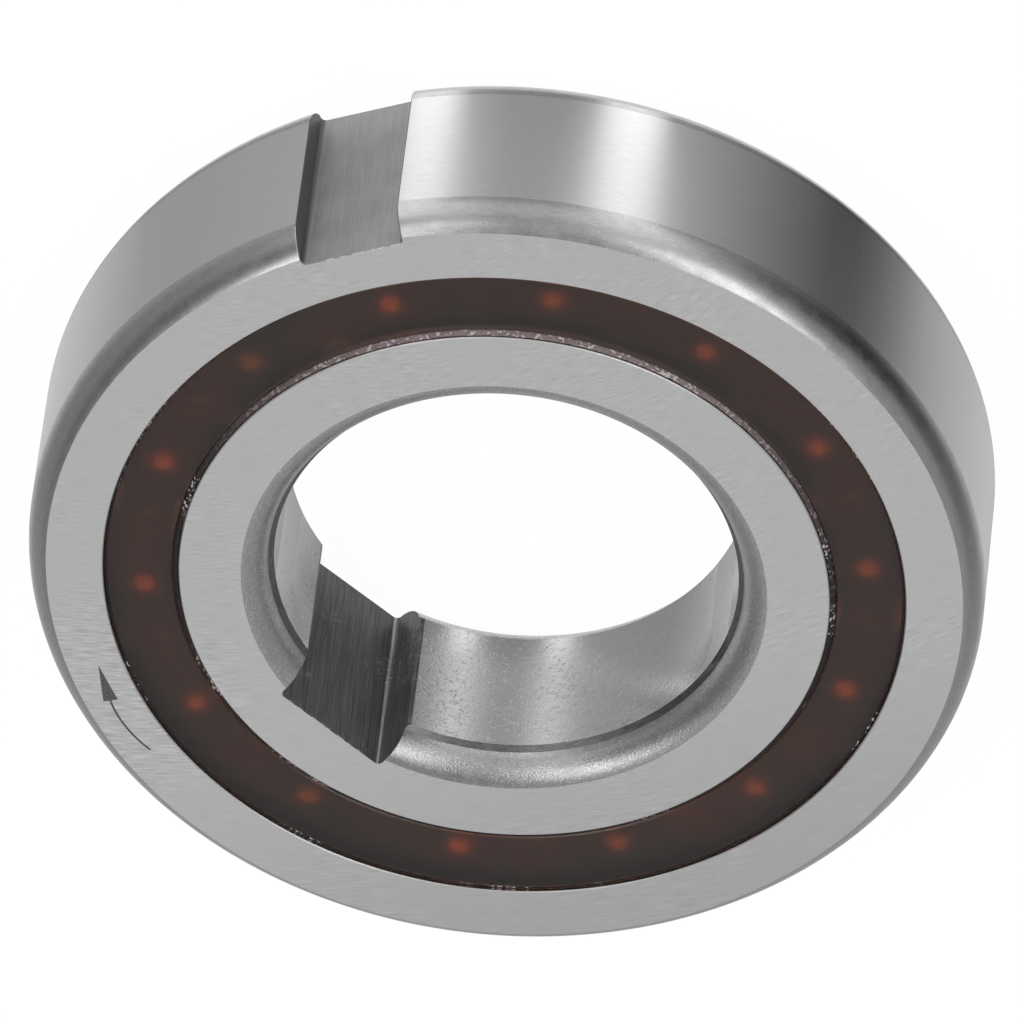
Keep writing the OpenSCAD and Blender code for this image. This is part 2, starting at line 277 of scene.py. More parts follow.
# A grey disc in the bore, so that other views mirror no bare patch of the white floor
grey_card, tree = new_material("grey_card")
surface(tree, put(tree, "ShaderNodeEmission", {"Color": grey(0.52), "Strength": 1.0}))
disc_reach, disc_height = 17.4, 0.04
grey_disc = lofted_disc("bore_floor", 0.1, 1, [(0, disc_height, 0), (disc_reach, disc_height, 0)])
mirrored_only(add_piece("bore_floor", grey_disc, [grey_card]))

tent = bpy.data.worlds.new("tent")
bpy.context.scene.world = tent
tent.use_nodes = True
tree = tent.node_tree
tree.nodes.clear()
way = put(tree, "ShaderNodeTexCoord", {}, "Generated")
axes = split(tree, way)
around = compass(tree, axes[0], axes[1])
# Up the tent: the horizon's light, the low light, and an even grey at the top
light = mix(tree, fade(tree, axes[2], 0.10, 0.28), bands(tree, around, horizon_light),
            bands(tree, around, low_light))
light = mix(tree, fade(tree, axes[2], 0.5, 0.8), light, grey(0.4))
# The sails and the bright roof opposite the camera: direction, height and half-width in
# degrees, and the brightness that the middle adds to the tent; the last one takes some away
for around, height, half_width, strength in [
        (65, 50, 50, 0.37), (210, 38, 15, 1.5), (197, 50, 16, 1.6), (180, 61, 15, 1.7),
        (272, 38, 12, 1.16), (290, 50, 17, 1.4), (310, 61, 16, 1.8), (335, 66, 13, 1.4),
        (170, 25, 20, 0.1), (90, 88, 22, -0.28)]:
    a, e = math.radians(around), math.radians(height)
    aim = (math.cos(e) * math.cos(a), math.cos(e) * math.sin(a), math.sin(e))
    near = put(tree, "ShaderNodeVectorMath", {0: way, 1: aim}, "Value", operation="DOT_PRODUCT")
    lamp_glow = fade(tree, near, math.cos(math.radians(half_width)), 1.0, 0.0, strength)
    light = mix(tree, 1.0, light, lamp_glow, "ADD")
ray = tree.nodes.new("ShaderNodeLightPath").outputs
put(tree, "ShaderNodeOutputWorld", {"Surface": put(tree, "ShaderNodeMixShader", {
    0: ray["Is Camera Ray"],
    1: put(tree, "ShaderNodeBackground", {"Color": light}),
    2: put(tree, "ShaderNodeBackground", {"Color": grey(1)})})})

# A weak lamp that lights the plastic and lays the faint shadow, and isn't mirrored
lamp_data = bpy.data.lights.new("softbox", "AREA")
lamp_data.shape = "DISK"
lamp_data.size = 0.5
lamp_data.energy = 1.0
lamp = bpy.data.objects.new("softbox", lamp_data)
lamp.location = (0.25, -0.55, 0.75)
lamp.rotation_euler = (-Vector(lamp.location)).to_track_quat("-Z", "Y").to_euler()
lamp.visible_glossy = False
bpy.context.collection.objects.link(lamp)


# Outer ring
# Hardened bearing steel, turned, ground on the outside and the faces, with tumbled
# corners and a milled keyway. The shields snap into its two seats.
def arc(start, end, bulge, side=1, steps=10):
    """Arc from start to end, as radius + i height. Every point is the centre plus the start's
    arm, turned by a share of twice the bulge. The centre lies half a chord over tan(bulge)
    off the chord's middle, to the left for side 1 and to the right for side -1."""
    centre = (start + end) / 2 + 1j * side * (end - start) / 2 / math.tan(bulge)
    return centre + (start - centre) * np.exp(2j * side * bulge * np.linspace(0, 1, steps + 1))


def line(start, end, steps=1):
    """Straight run from start to end."""
    return np.linspace(start, end, steps + 1)


def curve(start, first, second, end, steps=20):
    """Cubic curve from start to end, which leaves towards first and arrives from second."""
    s = np.linspace(0, 1, steps + 1)
    return ((1 - s) ** 3 * start + 3 * (1 - s) ** 2 * s * first
            + 3 * (1 - s) * s ** 2 * second + s ** 3 * end)


def whole_section(half, width):
    """Closed section from its upper half's runs of (points, finish): the half, then its mirror
    image about half the width, the other way round. Also the finish after each point, and
    the points that are kinks."""
    mirrored = [(np.conj(points[::-1]) + 1j * width, finish) for points, finish in half[::-1]]
    runs = half + mirrored
    points = np.concatenate([points[:-1] for points, finish in runs])
    finishes = np.concatenate([np.full(len(points) - 1, finish) for points, finish in runs])
    starts = np.cumsum([0] + [len(points) - 1 for points, finish in runs[:-1]])
    return points, finishes, np.delete(starts, [0, len(half)])


def keyway_wall(r, rim_r, way, half_w, foot_x, edge):
    """A keyway's wall on each row of radius r, from its foot up to where it meets the row's
    circle, with the rim's edge rounded: the wall lies at y = half_w, and the rounding's
    centre as deep under the rim as under the wall."""
    edge_steps, wall_steps = 8, 7
    middle_y = half_w + edge
    middle_x = math.sqrt((rim_r - way * edge) ** 2 - middle_y ** 2)
    arm = math.hypot(middle_x, middle_y)
    spread = (r ** 2 - arm ** 2 - edge ** 2) / (2 * edge * arm)
    first = math.atan2(middle_y, middle_x) - np.arccos(np.clip(spread, -1, 1))
    rounded = way * (r - math.hypot(middle_x, half_w)) > 0
    round_length = np.where(rounded, np.abs(first + TURN / 4) * edge, 0)
    wall_x = np.where(rounded, middle_x, np.sqrt(np.maximum(r ** 2 - half_w ** 2, 0)))
    length = round_length + np.abs(wall_x - foot_x)
    # Short steps along the rounding, which is at most 1.6 of its radii long
    edge_part = np.minimum(1.6 * edge, length / 2)
    short = np.linspace(0, 1, edge_steps + 1)[None, :]
    long = np.linspace(0, 1, wall_steps + 1)[None, 1:]
    along = np.concatenate([edge_part * short, edge_part + (length - edge_part) * long], axis=1)
    angle = first - way * along / edge
    on_round = along < round_length
    past_x = wall_x - way * (along - round_length)
    return (np.where(on_round, middle_x + edge * np.cos(angle), past_x)
            + 1j * np.where(on_round, middle_y + edge * np.sin(angle), half_w))[:, ::-1]


def half_keyway(r, rim_r, way, half_w, floor_x, fillet, edge):
    """Half a keyway along +X on each row of radius r, as x + iy: from the middle of its floor
    through the foot's fillet and up the wall to the row's circle. A row that the keyway
    doesn't reach gets its own circle's points instead, in nearly the same directions. Also
    tells which rows the keyway cuts."""
    floor_steps, foot_steps, wall_fan = 6, 6, 0.012
    foot_x = floor_x + way * fillet
    wall = keyway_wall(r, rim_r, way, half_w, foot_x, edge)
    floor_end = TURN / 2 if way > 0 else 0
    bend = np.linspace(TURN / 4, floor_end, foot_steps + 1)[None, -2:0:-1]
    foot = foot_x + 1j * (half_w - fillet) + fillet * np.exp(1j * bend)
    floor_line = floor_x + 1j * np.linspace(0, half_w - fillet, floor_steps + 1)[None, :]
    rows = len(r)
    half = np.concatenate([np.repeat(floor_line, rows, axis=0),
                           np.repeat(foot, rows, axis=0), wall], axis=1)
    cut = way * (r - math.hypot(foot_x, half_w)) > 0
    # Full circles take the directions of the nearest cut row, fanned out along the wall
    nearest = np.argmin(np.where(cut, np.abs(r - floor_x), np.inf))
    fan = np.angle(half[nearest])
    walls = wall.shape[1]
    fan[-walls:] = np.linspace(fan[-walls], fan[-1] + wall_fan, walls)
    return np.where(cut, half, r * np.exp(1j * fan)[None, :]), cut[:, 0]


def keyed_ring(name, runs, width, turn, keyway_finish, way, **keyway):
    """Ring with one keyway as a grid: rows follow the section, columns follow the plan.
    A column runs from the middle of the keyway's floor up one wall, round the ring at the
    row's radius, and down the other wall. The keyway lies in the direction turn, in the
    outside for way 1 and in the bore for way -1."""
    points, finishes, kinks = whole_section(runs, width)
    r = points.real[:, None]
    half, cut = half_keyway(r, way=way, **keyway)
    mouth = np.angle(half[:, -1:])
    # A short first and last step keeps the edge's rounding out of the wide faces' shading
    short, arc_steps = 0.0004, 400
    even = np.linspace(0, 1, arc_steps + 1)[1:-1]
    share = np.concatenate([[short], even, [1 - short]])[None, :]
    around = r * np.exp(1j * (mouth + (TURN - 2 * mouth) * share))
    plan = np.concatenate([half, around, np.conj(half[:, :0:-1])], axis=1) * np.exp(1j * turn)
    rows, columns = plan.shape
    height = np.repeat(points.imag[:, None], columns, axis=1)
    mesh = new_mesh(name, np.stack([plan.real, plan.imag, height], axis=2),
                    weave(rows, columns).tolist())
    j = np.arange(columns)
    in_key = (j < half.shape[1] - 1) | (j > columns - half.shape[1])
    in_cut = cut & np.roll(cut, -1)
    finish = np.where(in_cut[:, None] & in_key, keyway_finish, finishes[:, None])
    mesh.polygons.foreach_set("material_index", finish.ravel().astype(np.int32))
    mesh.shade_smooth()
    ends = np.empty(2 * len(mesh.edges), dtype=np.int32)
    mesh.edges.foreach_get("vertices", ends)
    row = ends.reshape(-1, 2) // columns
    sharp = (row[:, 0] == row[:, 1]) & np.isin(row[:, 0], kinks)
    mesh.attributes.new("sharp_edge", "BOOLEAN", "EDGE").data.foreach_set("value", sharp)
    return mesh


def object_place(tree):
    """The point's place in the object's own frame, in metres."""
    return put(tree, "ShaderNodeTexCoord", {}, "Object")


def new_group(name, inputs, outputs):
    """An empty shader node group with number inputs, as name: default, and number outputs."""
    group = bpy.data.node_groups.new(name, "ShaderNodeTree")
    for label, value in inputs.items():
        socket = group.interface.new_socket(label, in_out="INPUT", socket_type="NodeSocketFloat")
        socket.default_value = value
    for label in outputs:
        group.interface.new_socket(label, in_out="OUTPUT", socket_type="NodeSocketFloat")
    return group, group.nodes.new("NodeGroupInput").outputs


def use(tree, group, out, **inputs):
    """Places a node group; an input's name has its blanks as underscores."""
    return put(tree, "ShaderNodeGroup", {key.replace("_", " "): value
                                         for key, value in inputs.items()}, out, node_tree=group)


def noise(tree, vector, detail=2.0, rough=0.5, scale=1.0):
    """Soft noise about 0.5, with scale waves to a unit of the vector."""
    return put(tree, "ShaderNodeTexNoise",
               {"Vector": vector, "Scale": scale, "Detail": detail, "Roughness": rough})


def stretch(tree, vector, x, y, z):
    """A vector with its three numbers multiplied by x, y and z."""
    return put(tree, "ShaderNodeVectorMath", {0: vector, 1: (x, y, z)}, operation="MULTIPLY")


def give(tree, **values):
    """Joins the group's outputs; a name's blanks are underscores."""
    node = tree.nodes.new("NodeGroupOutput")
    for key, value in values.items():
        tree.links.new(value, node.inputs[key.replace("_", " ")])


def join(tree, x, y=0.0, z=0.0):
    """A vector from three numbers."""
    return put(tree, "ShaderNodeCombineXYZ", {0: x, 1: y, 2: z})


# Where a point is, in mm: its distance from an upright axis, its way round that axis at a
# given radius, and its height
round_place, given = new_group("round_place", {"Axis X": 0, "Axis Y": 0, "At Radius": 36},
                               ["Radius", "Around", "Height"])
axes = split(round_place, put(round_place, "ShaderNodeVectorMath", {
    0: object_place(round_place), "Scale": 1 / MM}, operation="SCALE"))
dx = calc(round_place, "SUBTRACT", axes[0], given["Axis X"])
dy = calc(round_place, "SUBTRACT", axes[1], given["Axis Y"])
give(round_place,
     Radius=calc(round_place, "SQRT", calc(round_place, "MULTIPLY_ADD", dx, dx,
                                           calc(round_place, "MULTIPLY", dy, dy))),
     Around=calc(round_place, "MULTIPLY", calc(round_place, "ARCTAN2", dy, dx),
                 given["At Radius"]),
     Height=axes[2])

# Grinding lines and stray scratches that run along one direction of the surface
grinding, given = new_group("grinding_lines", {
    "Across": 0, "Along": 0, "Spacing": 0.12, "Length": 6, "Scratch Spacing": 0.5,
    "Scratch Length": 9, "Scratch Share": 0.64}, ["Lines", "Scratches"])
fine = join(grinding, calc(grinding, "DIVIDE", given["Across"], given["Spacing"]),
            calc(grinding, "DIVIDE", given["Along"], given["Length"]))
broad = join(grinding, calc(grinding, "DIVIDE", given["Across"], given["Scratch Spacing"]),
             calc(grinding, "DIVIDE", given["Along"], given["Scratch Length"]), 7.3)
give(grinding, Lines=noise(grinding, fine, 3.0, 0.6),
     Scratches=fade(grinding, noise(grinding, broad, 1.0, 0.4), given["Scratch Share"],
                    calc(grinding, "ADD", given["Scratch Share"], 0.05)))


def steel(tree, colour, roughness, bump=None, bump_height=0.0, anisotropic=0.0, tangent=None):
    """Bare steel: a metal of one grey with its own roughness and a fine bump, whose height is
    in mm, and a gloss that can spread across a tangent."""
    wires = {"Base Color": colour, "Metallic": 1.0, "Roughness": roughness,
             "Anisotropic": anisotropic}
    if bump is not None:
        wires["Normal"] = put(tree, "ShaderNodeBump", {
            "Height": bump, "Strength": 1.0, "Distance": bump_height * MM})
    if tangent is not None:
        wires["Tangent"] = tangent
    surface(tree, put(tree, "ShaderNodeBsdfPrincipled", wires))


def face_steel(name, centre):
    """Ground face: faint arcs about the grinding wheel's centre, lighter stray scratches, and
    painted shade towards +Y.
    """
    material, tree = new_material(name)
    at = dict(Axis_X=centre[0], Axis_Y=centre[1], At_Radius=math.hypot(*centre))
    across = use(tree, round_place, "Radius", **at)
    along = use(tree, round_place, "Around", **at)
    place = object_place(tree)
    patches = fade(tree, noise(tree, place, 2.0, 0.5, 90.0), 0.45, 0.6, 0.15, 0.6)
    # Painted shade: the face's tone falls to 0.85 of itself from 8 to 36 mm towards +Y
    painted_shade_to_y = fade(tree, split(tree, place)[1], 0.008, 0.036, 1.0, 0.85)
    # Most scuffed round the arrow
    arrow_place = (0.032, 0.002, 0.017)
    from_arrow = put(tree, "ShaderNodeVectorMath", {
        0: place, 1: arrow_place}, "Value", operation="DISTANCE")
    scuffed = calc(tree, "MAXIMUM", patches, fade(tree, from_arrow, 0.005, 0.014, 1.4, 0.0))
    lines = use(tree, grinding, "Lines", Across=across, Along=along, Spacing=0.12, Length=1.8)
    scratches = use(tree, grinding, "Scratches", Across=across, Along=along,
                    Scratch_Spacing=0.10, Scratch_Length=1.1, Scratch_Share=0.62)
    uneven = calc(tree, "MULTIPLY", fade(tree, lines, 0.25, 0.75, -0.09, 0.09), scuffed)
    tone = calc(tree, "ADD", calc(tree, "ADD", fade(tree, lines, 0.25, 0.75, 0.58, 0.60), uneven),
                calc(tree, "MULTIPLY", scratches, calc(tree, "MULTIPLY", scuffed, 0.05)))
    tone = calc(tree, "MULTIPLY", tone, painted_shade_to_y)
    steel(tree, tone, fade(tree, lines, 0.3, 0.7, 0.44, 0.40),
          calc(tree, "MULTIPLY_ADD", calc(tree, "MULTIPLY", lines, scuffed), 2.0, lines), 0.0009)
    return material


def wall_steel(name, radius, tone, rough, bruised):
    """Cylinder ground between centres: fine lines run round it, gloss spreads upright, and
    small dents and slanted scratches are left where it was bruised."""
    material, tree = new_material(name)
    height = use(tree, round_place, "Height")
    around = use(tree, round_place, "Around", At_Radius=radius)
    place = object_place(tree)
    lines = use(tree, grinding, "Lines", Across=height, Along=around, Spacing=0.07, Length=1.5)
    scratches = use(tree, grinding, "Scratches", Across=height, Along=around,
                    Scratch_Spacing=0.16, Scratch_Length=2, Scratch_Share=0.70)
    slanted = use(tree, grinding, "Scratches", Across=calc(tree, "ADD", height, around),
                  Along=calc(tree, "SUBTRACT", height, around), Scratch_Spacing=0.20,
                  Scratch_Length=1.3, Scratch_Share=0.65)
    battered = fade(tree, noise(tree, place, 1.0, 0.5, 170.0), 0.36, 0.56, 0.25, 1.0)
    dents = fade(tree, noise(tree, place, 2.0, 0.6, 2300.0), 0.60, 0.68)
    peel = noise(tree, place, 1.0, 0.5, 3400.0)
    marks = calc(tree, "MULTIPLY", battered, calc(tree, "MAXIMUM", dents, slanted))
    marks = calc(tree, "MULTIPLY_ADD", marks, -1.3 * bruised,
                 calc(tree, "MULTIPLY", peel, 0.05 + 0.35 * bruised))
    shade = calc(tree, "ADD", fade(tree, lines, 0.25, 0.75, tone - 0.025, tone + 0.025),
                 calc(tree, "MULTIPLY", scratches, 0.05))
    upright = put(tree, "ShaderNodeTangent", {}, direction_type="RADIAL", axis="Z")
    steel(tree, shade, fade(tree, lines, 0.3, 0.7, rough + 0.02, rough - 0.02),
          calc(tree, "MULTIPLY_ADD", lines, 0.04, marks), 0.005 + 0.015 * bruised,
          anisotropic=0.75, tangent=upright)
    return material


def corner_steel(name, radius, lean, tone, rough, sparkle, dull_from, dull_to, dull):
    """Corner left by turning and tumbling: fine turning lines, a soft waviness, and bright
    short scratches. Across it, the lines follow height plus lean times radius. From radius
    dull_from to dull_to, towards the face, it gets duller."""
    material, tree = new_material(name)
    out = use(tree, round_place, "Radius")
    around = use(tree, round_place, "Around", At_Radius=radius)
    slope = calc(tree, "MULTIPLY", calc(
        tree, "MULTIPLY_ADD", out, lean, use(tree, round_place, "Height")), math.sqrt(0.5))
    lines = use(tree, grinding, "Lines", Across=slope, Along=around, Spacing=0.07, Length=1.0)
    nicks = use(tree, grinding, "Scratches", Across=slope, Along=around,
                Scratch_Spacing=0.05, Scratch_Length=0.20, Scratch_Share=0.60)
    place = object_place(tree)
    waves = noise(tree, place, 2.0, 0.5, 700.0)
    grain = noise(tree, place, 2.0, 0.6, 6500.0)
    shade = calc(tree, "MULTIPLY_ADD", nicks, 0.20 * sparkle,
                 fade(tree, lines, 0.25, 0.75, tone - 0.05, tone + 0.05))
    shade = calc(tree, "MULTIPLY", shade, fade(tree, out, dull_from, dull_to, 1.0, dull))
    relief = calc(tree, "MULTIPLY_ADD", waves, 0.3, calc(
        tree, "MULTIPLY_ADD", grain, 1.3 * sparkle, calc(tree, "MULTIPLY", lines, 0.15)))
    steel(tree, shade, fade(tree, waves, 0.35, 0.65, rough - 0.02, rough + 0.04), relief,
          0.009 + 0.011 * sparkle)
    return material


def milled_steel(name, turn, half_w, tone, painted_wall_level, metal, chatter):
    """Keyway: left dull by hardening, with fine upright tool marks and walls painted darker or
    lighter than the floor as painted shade and light. Where the tool chattered it has torn patches
    and a foot painted bright as a glint; elsewhere its foot is painted darker as shade. turn is the
    keyway's direction."""
    material, tree = new_material(name)
    place = object_place(tree)
    marks = noise(tree, stretch(tree, place, 7000, 7000, 200), 2.0, 0.6)
    stains = noise(tree, place, 3.0, 0.6, 420.0)
    grain = noise(tree, place, 2.0, 0.6, 5500.0)
    ripples = noise(tree, stretch(tree, place, 1800, 1800, 4200), 2.0, 0.6)
    torn = calc(tree, "MULTIPLY", fade(tree, ripples, 0.50, 0.6), fade(
        tree, noise(tree, place, 1.0, 0.5, 260.0), 0.50, 0.62, 0.0, chatter))
    sideways = put(tree, "ShaderNodeVectorMath", {
        0: place, 1: (-1000 * math.sin(turn), 1000 * math.cos(turn), 0.0)}, "Value",
        operation="DOT_PRODUCT")
    sideways = calc(tree, "ABSOLUTE", sideways)
    # The wall and its foot, by the distance from the keyway's middle in mm; both carry painted
    # light and shade
    on_wall = fade(tree, sideways, half_w - 0.45, half_w - 0.05)
    foot = calc(tree, "MULTIPLY", fade(tree, sideways, half_w - 0.38, half_w - 0.26), fade(
        tree, sideways, half_w - 0.18, half_w - 0.08, 1.0, 0.0))
    uneven = 0.04 + 0.28 * chatter
    shade = calc(tree, "MULTIPLY", fade(tree, stains, 0.3, 0.7, 0.95, 1.06), fade(
        tree, marks, 0.3, 0.7, tone * (1 - uneven), tone * (1 + uneven)))
    # Painted shade and light: the walls' tone is scaled, darker on the outer keyway's walls and
    # lighter on the bore keyway's
    shade = calc(tree, "MULTIPLY", shade, fade(tree, on_wall, 0, 1, 1.0, painted_wall_level))
    shade = calc(tree, "MULTIPLY", shade, fade(tree, torn, 0, 1, 0.92, 1.50))
    # Painted highlight and shade in the foot: up to 3.5 times brighter where the tool chattered,
    # darker where it ran clean
    shade = calc(tree, "MULTIPLY", shade, fade(tree, foot, 0, 1, 1.0, 0.6 + 2.9 * chatter))
    # Painted glints: a lighter tone in spots along the face's edge, where burrs catch the light
    burr_glint = calc(tree, "MULTIPLY", fade(tree, split(tree, place)[2], 0.01680, 0.01697),
                fade(tree, noise(tree, place, 1.0, 0.5, 1500.0), 0.48, 0.56))
    shade = calc(tree, "MULTIPLY_ADD", burr_glint, 0.4, shade)
    relief = calc(tree, "MULTIPLY_ADD", torn, 2.2, calc(
        tree, "MULTIPLY_ADD", grain, 0.5 + 0.4 * chatter,
        calc(tree, "MULTIPLY", marks, 0.2 + 1.3 * chatter)))
    surface(tree, put(tree, "ShaderNodeBsdfPrincipled", {
        "Base Color": shade, "Metallic": metal, "IOR": 1.3,
        "Roughness": fade(tree, stains, 0.3, 0.7, 0.40, 0.50),
        "Normal": put(tree, "ShaderNodeBump", {
            "Height": relief, "Strength": 1.0, "Distance": 0.012 * MM})}))
    return material


def track_steel(name):
    """Raceway and seat: hardened, honed and lightly oiled, sealed behind the shields."""
    material, tree = new_material(name)
    lines = use(tree, grinding, "Lines", Across=use(tree, round_place, "Height"),
                Along=use(tree, round_place, "Around", At_Radius=30), Spacing=0.1, Length=8)
    steel(tree, fade(tree, lines, 0.25, 0.75, 0.5, 0.6),
          fade(tree, lines, 0.3, 0.7, 0.26, 0.2), lines, 0.0005)
    return material


# The finish of each run of a section, as the number of its material; all sizes are in mm
WALL, CORNER, FACE, TRACK, KEY, BEVEL = range(6)
ring_w = 17.0
middle = 1j * ring_w / 2
face = 1j * ring_w
outside_r, outer_track_r, seat_r = 36.0, 30.2, 31.0
# The balls' groove: how far its edge lies over the middle, and half its arc's angle
groove_r, groove_half_w = 3.715, 2.267
groove_edge = middle + 1j * groove_half_w
groove_bulge = math.asin(groove_half_w / groove_r) / 2
outer_key_turn, outer_key_half_w = math.radians(270), 4.0
track_material = track_steel("track_steel")
wheel_centre = (-6.0, -114.0)
face_material = face_steel("ground_face", wheel_centre)
outer_half = [
    (line(outside_r + middle, outside_r + 14.5j, 6), WALL),
    # Tumbling wore the chamfer round
    (curve(outside_r + 14.5j, outside_r + 15.45j, 35.3 + 16.6j, 34.5 + face), CORNER),
    (np.array([34.5, 33.4, 32.0, 30.28]) + face, FACE),
    (line(30.28 + face, outer_track_r + 16.92j), FACE),
    # The shield's seat
    (line(outer_track_r + 16.92j, outer_track_r + 16.3j), TRACK),
    (line(outer_track_r + 16.3j, seat_r + 16.3j), TRACK),
    (line(seat_r + 16.3j, seat_r + 15.45j), TRACK),
    (line(seat_r + 15.45j, outer_track_r + 15.45j), TRACK),
    (line(outer_track_r + 15.45j, outer_track_r + groove_edge, 2), TRACK),
    (arc(outer_track_r + groove_edge, 30.972 + middle, groove_bulge, -1, 8), TRACK),
]
outer_ring = add_piece("turned_outer_ring", keyed_ring(
    "turned_outer_ring", outer_half, ring_w, rim_r=outside_r, way=1, half_w=outer_key_half_w,
    floor_x=33.7, fillet=0.4, edge=0.06, turn=outer_key_turn, keyway_finish=KEY), [
        wall_steel("ground_outside", outside_r, tone=0.59, rough=0.26, bruised=0.1),
        corner_steel("outer_corner", 35, lean=-1, tone=0.44, rough=0.27, sparkle=0.3,
                     dull_from=35, dull_to=34, dull=1.0),
        face_material, track_material,
        milled_steel("milled_keyway", outer_key_turn, outer_key_half_w, tone=0.38,
                     painted_wall_level=0.33, metal=0.7, chatter=0.1)])
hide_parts("outer_ring")
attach(outer_ring, "housing")

# Inner ring
# The same steel and finish, with large rounded corners at the bore and a wider keyway
# broached through it.
bore_r, inner_track_r = 17.5, 24.5
inner_key_turn, inner_key_half_w = math.radians(29), 5.0
inner_half = [
    (arc(23.728 + middle, inner_track_r + groove_edge, groove_bulge, -1, 8), TRACK),
    (line(inner_track_r + groove_edge, inner_track_r + 16.92j, 2), TRACK),
    (line(inner_track_r + 16.92j, 24.42 + face), FACE),
    (np.array([24.42, 23.0, 20.9, 19.8]) + face, FACE),
    (arc(19.8 + face, 17.9 + 15.03j, math.radians(35), steps=16), CORNER),
    (line(17.9 + 15.03j, bore_r + 14.63j, 4), BEVEL),
    (line(bore_r + 14.63j, bore_r + middle, 6), WALL),
]
inner_ring = add_piece("turned_inner_ring", keyed_ring(
    "turned_inner_ring", inner_half, ring_w, rim_r=bore_r, way=-1, half_w=inner_key_half_w,
    floor_x=19.9, fillet=0.4, edge=0.35, turn=inner_key_turn, keyway_finish=KEY), [
        wall_steel("ground_bore", bore_r, tone=0.52, rough=0.20, bruised=1.0),
        corner_steel("bore_corner", 18.5, lean=1, tone=0.44, rough=0.28, sparkle=1.0,
                     dull_from=18.7, dull_to=19.5, dull=0.8),
        face_material, track_material,
        milled_steel("broached_keyway", inner_key_turn, inner_key_half_w, tone=0.12,
                     painted_wall_level=1.2, metal=0.4, chatter=1.0),
        # The bevel's steel is painted dark: painted shade for the dark band at the bore's edge
        corner_steel("bore_bevel", 17.7, lean=1, tone=0.15, rough=0.34, sparkle=0.3,
                     dull_from=17.6, dull_to=17.7, dull=1.0)])
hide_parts("inner_ring")
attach(inner_ring, "inner_race")


# Balls
# Fourteen polished bearing steel balls with a film of grease. They run in the rings' grooves,
# each in its own pocket of the cage.
def refinish(material, *nodes):
    """A CAD node keeps its mesh and gets a new material in every slot."""
    for name in nodes:
        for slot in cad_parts[name].material_slots:
            slot.material = material


ball_material, tree = new_material("ball_steel")
smear = noise(tree, object_place(tree), 2.0, 0.5, 300.0)
steel(tree, fade(tree, smear, 0.3, 0.7, 0.66, 0.76), fade(tree, smear, 0.35, 0.7, 0.06, 0.22))
ball_names = sorted(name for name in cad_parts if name.startswith("ball_"))
refinish(ball_material, *ball_names)

# Sprags
# Fourteen extruded and hardened sprags, tumbled smooth. They stand between the balls and wedge
# between the two tracks when the inner ring is turned the locked way.
sprag_material, tree = new_material("sprag_steel")
drawn = noise(tree, stretch(tree, object_place(tree), 4000, 4000, 150), 2.0, 0.6)
steel(tree, fade(tree, drawn, 0.3, 0.7, 0.38, 0.5), fade(tree, drawn, 0.3, 0.7, 0.4, 0.28),
      drawn, 0.003)
refinish(sprag_material, *sorted(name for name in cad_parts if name.startswith("sprag_")))

# Cage, closing ring and pins
# Dark brown moulded plastic. Fourteen brass pins with low round heads fasten the closing
# ring over the sprags' slots; a grease hole lies between each two.
pitch_r, first_ball, pairs = 27.35, 11.8, 14
step = TURN / pairs
# Distance in mm from the nearest of the evenly spaced spots on the pitch circle, one of which
# lies at the angle First
spots, given = new_group("pitch_spots", {"First": 0}, ["Distance"])
radius = use(spots, round_place, "Radius", At_Radius=1.0)
around = use(spots, round_place, "Around", At_Radius=1.0)
# Share of the way from one gap's middle to the next; the 10 whole steps keep it positive
share = calc(spots, "FRACT", calc(spots, "ADD", calc(
    spots, "DIVIDE", calc(spots, "SUBTRACT", around, given["First"]), step), 10.5))
sideways = calc(spots, "MULTIPLY", calc(spots, "SUBTRACT", share, 0.5), step * pitch_r)
outwards = calc(spots, "SUBTRACT", radius, pitch_r)
give(spots, Distance=calc(spots, "SQRT", calc(
    spots, "MULTIPLY_ADD", sideways, sideways, calc(spots, "MULTIPLY", outwards, outwards))))


def plastic(tree, colour, roughness, bump, bump_height, **more):
    """Moulded plastic with a fine bump, and more inputs of its shader by name."""
    normal = put(tree, "ShaderNodeBump", {
        "Height": bump, "Strength": 1.0, "Distance": bump_height * MM})
    return put(tree, "ShaderNodeBsdfPrincipled", {
        "Base Color": colour, "Roughness": roughness, "Normal": normal, **more})


cage_material, tree = new_material("cage_plastic")
place = object_place(tree)
flow = noise(tree, place, 3.0, 0.6, 350.0)
to_pin = use(tree, spots, "Distance", First=math.radians(first_ball))
to_hole = use(tree, spots, "Distance", First=math.radians(first_ball) + step / 2)
base = mix(tree, fade(tree, flow, 0.3, 0.7), (0.020, 0.008, 0.009, 1), (0.034, 0.011, 0.012, 1))
# Painted light on the dark plastic: a reddish glow round each grease hole and an orange glow round
# each pin
base = mix(tree, fade(tree, to_hole, 0.9, 1.7, 0.7, 0.0), base, (0.15, 0.03, 0.022, 1))
base = mix(tree, fade(tree, to_pin, 0.7, 1.7, 0.75, 0.0), base, (0.26, 0.08, 0.025, 1))
surface(tree, plastic(tree, base, fade(tree, flow, 0.3, 0.7, 0.55, 0.7), flow, 0.01))
refinish(cage_material, "cage", "closing_ring")

pin_material, tree = new_material("pin_brass")
to_pin = use(tree, spots, "Distance", First=math.radians(first_ball))
turned = noise(tree, object_place(tree), 2.0, 0.5, 1500.0)
# Brass colour with painted light: each head is painted bright in its middle and darker towards its
# rim
base = mix(tree, fade(tree, to_pin, 0.2, 0.95), (0.92, 0.50, 0.07, 1), (0.40, 0.17, 0.04, 1))
base = mix(tree, fade(tree, turned, 0.3, 0.8, 0.0, 0.3), base, (0.55, 0.24, 0.05, 1))
surface(tree, plastic(tree, base, 0.5, turned, 0.005))
refinish(pin_material, "closing_pins")

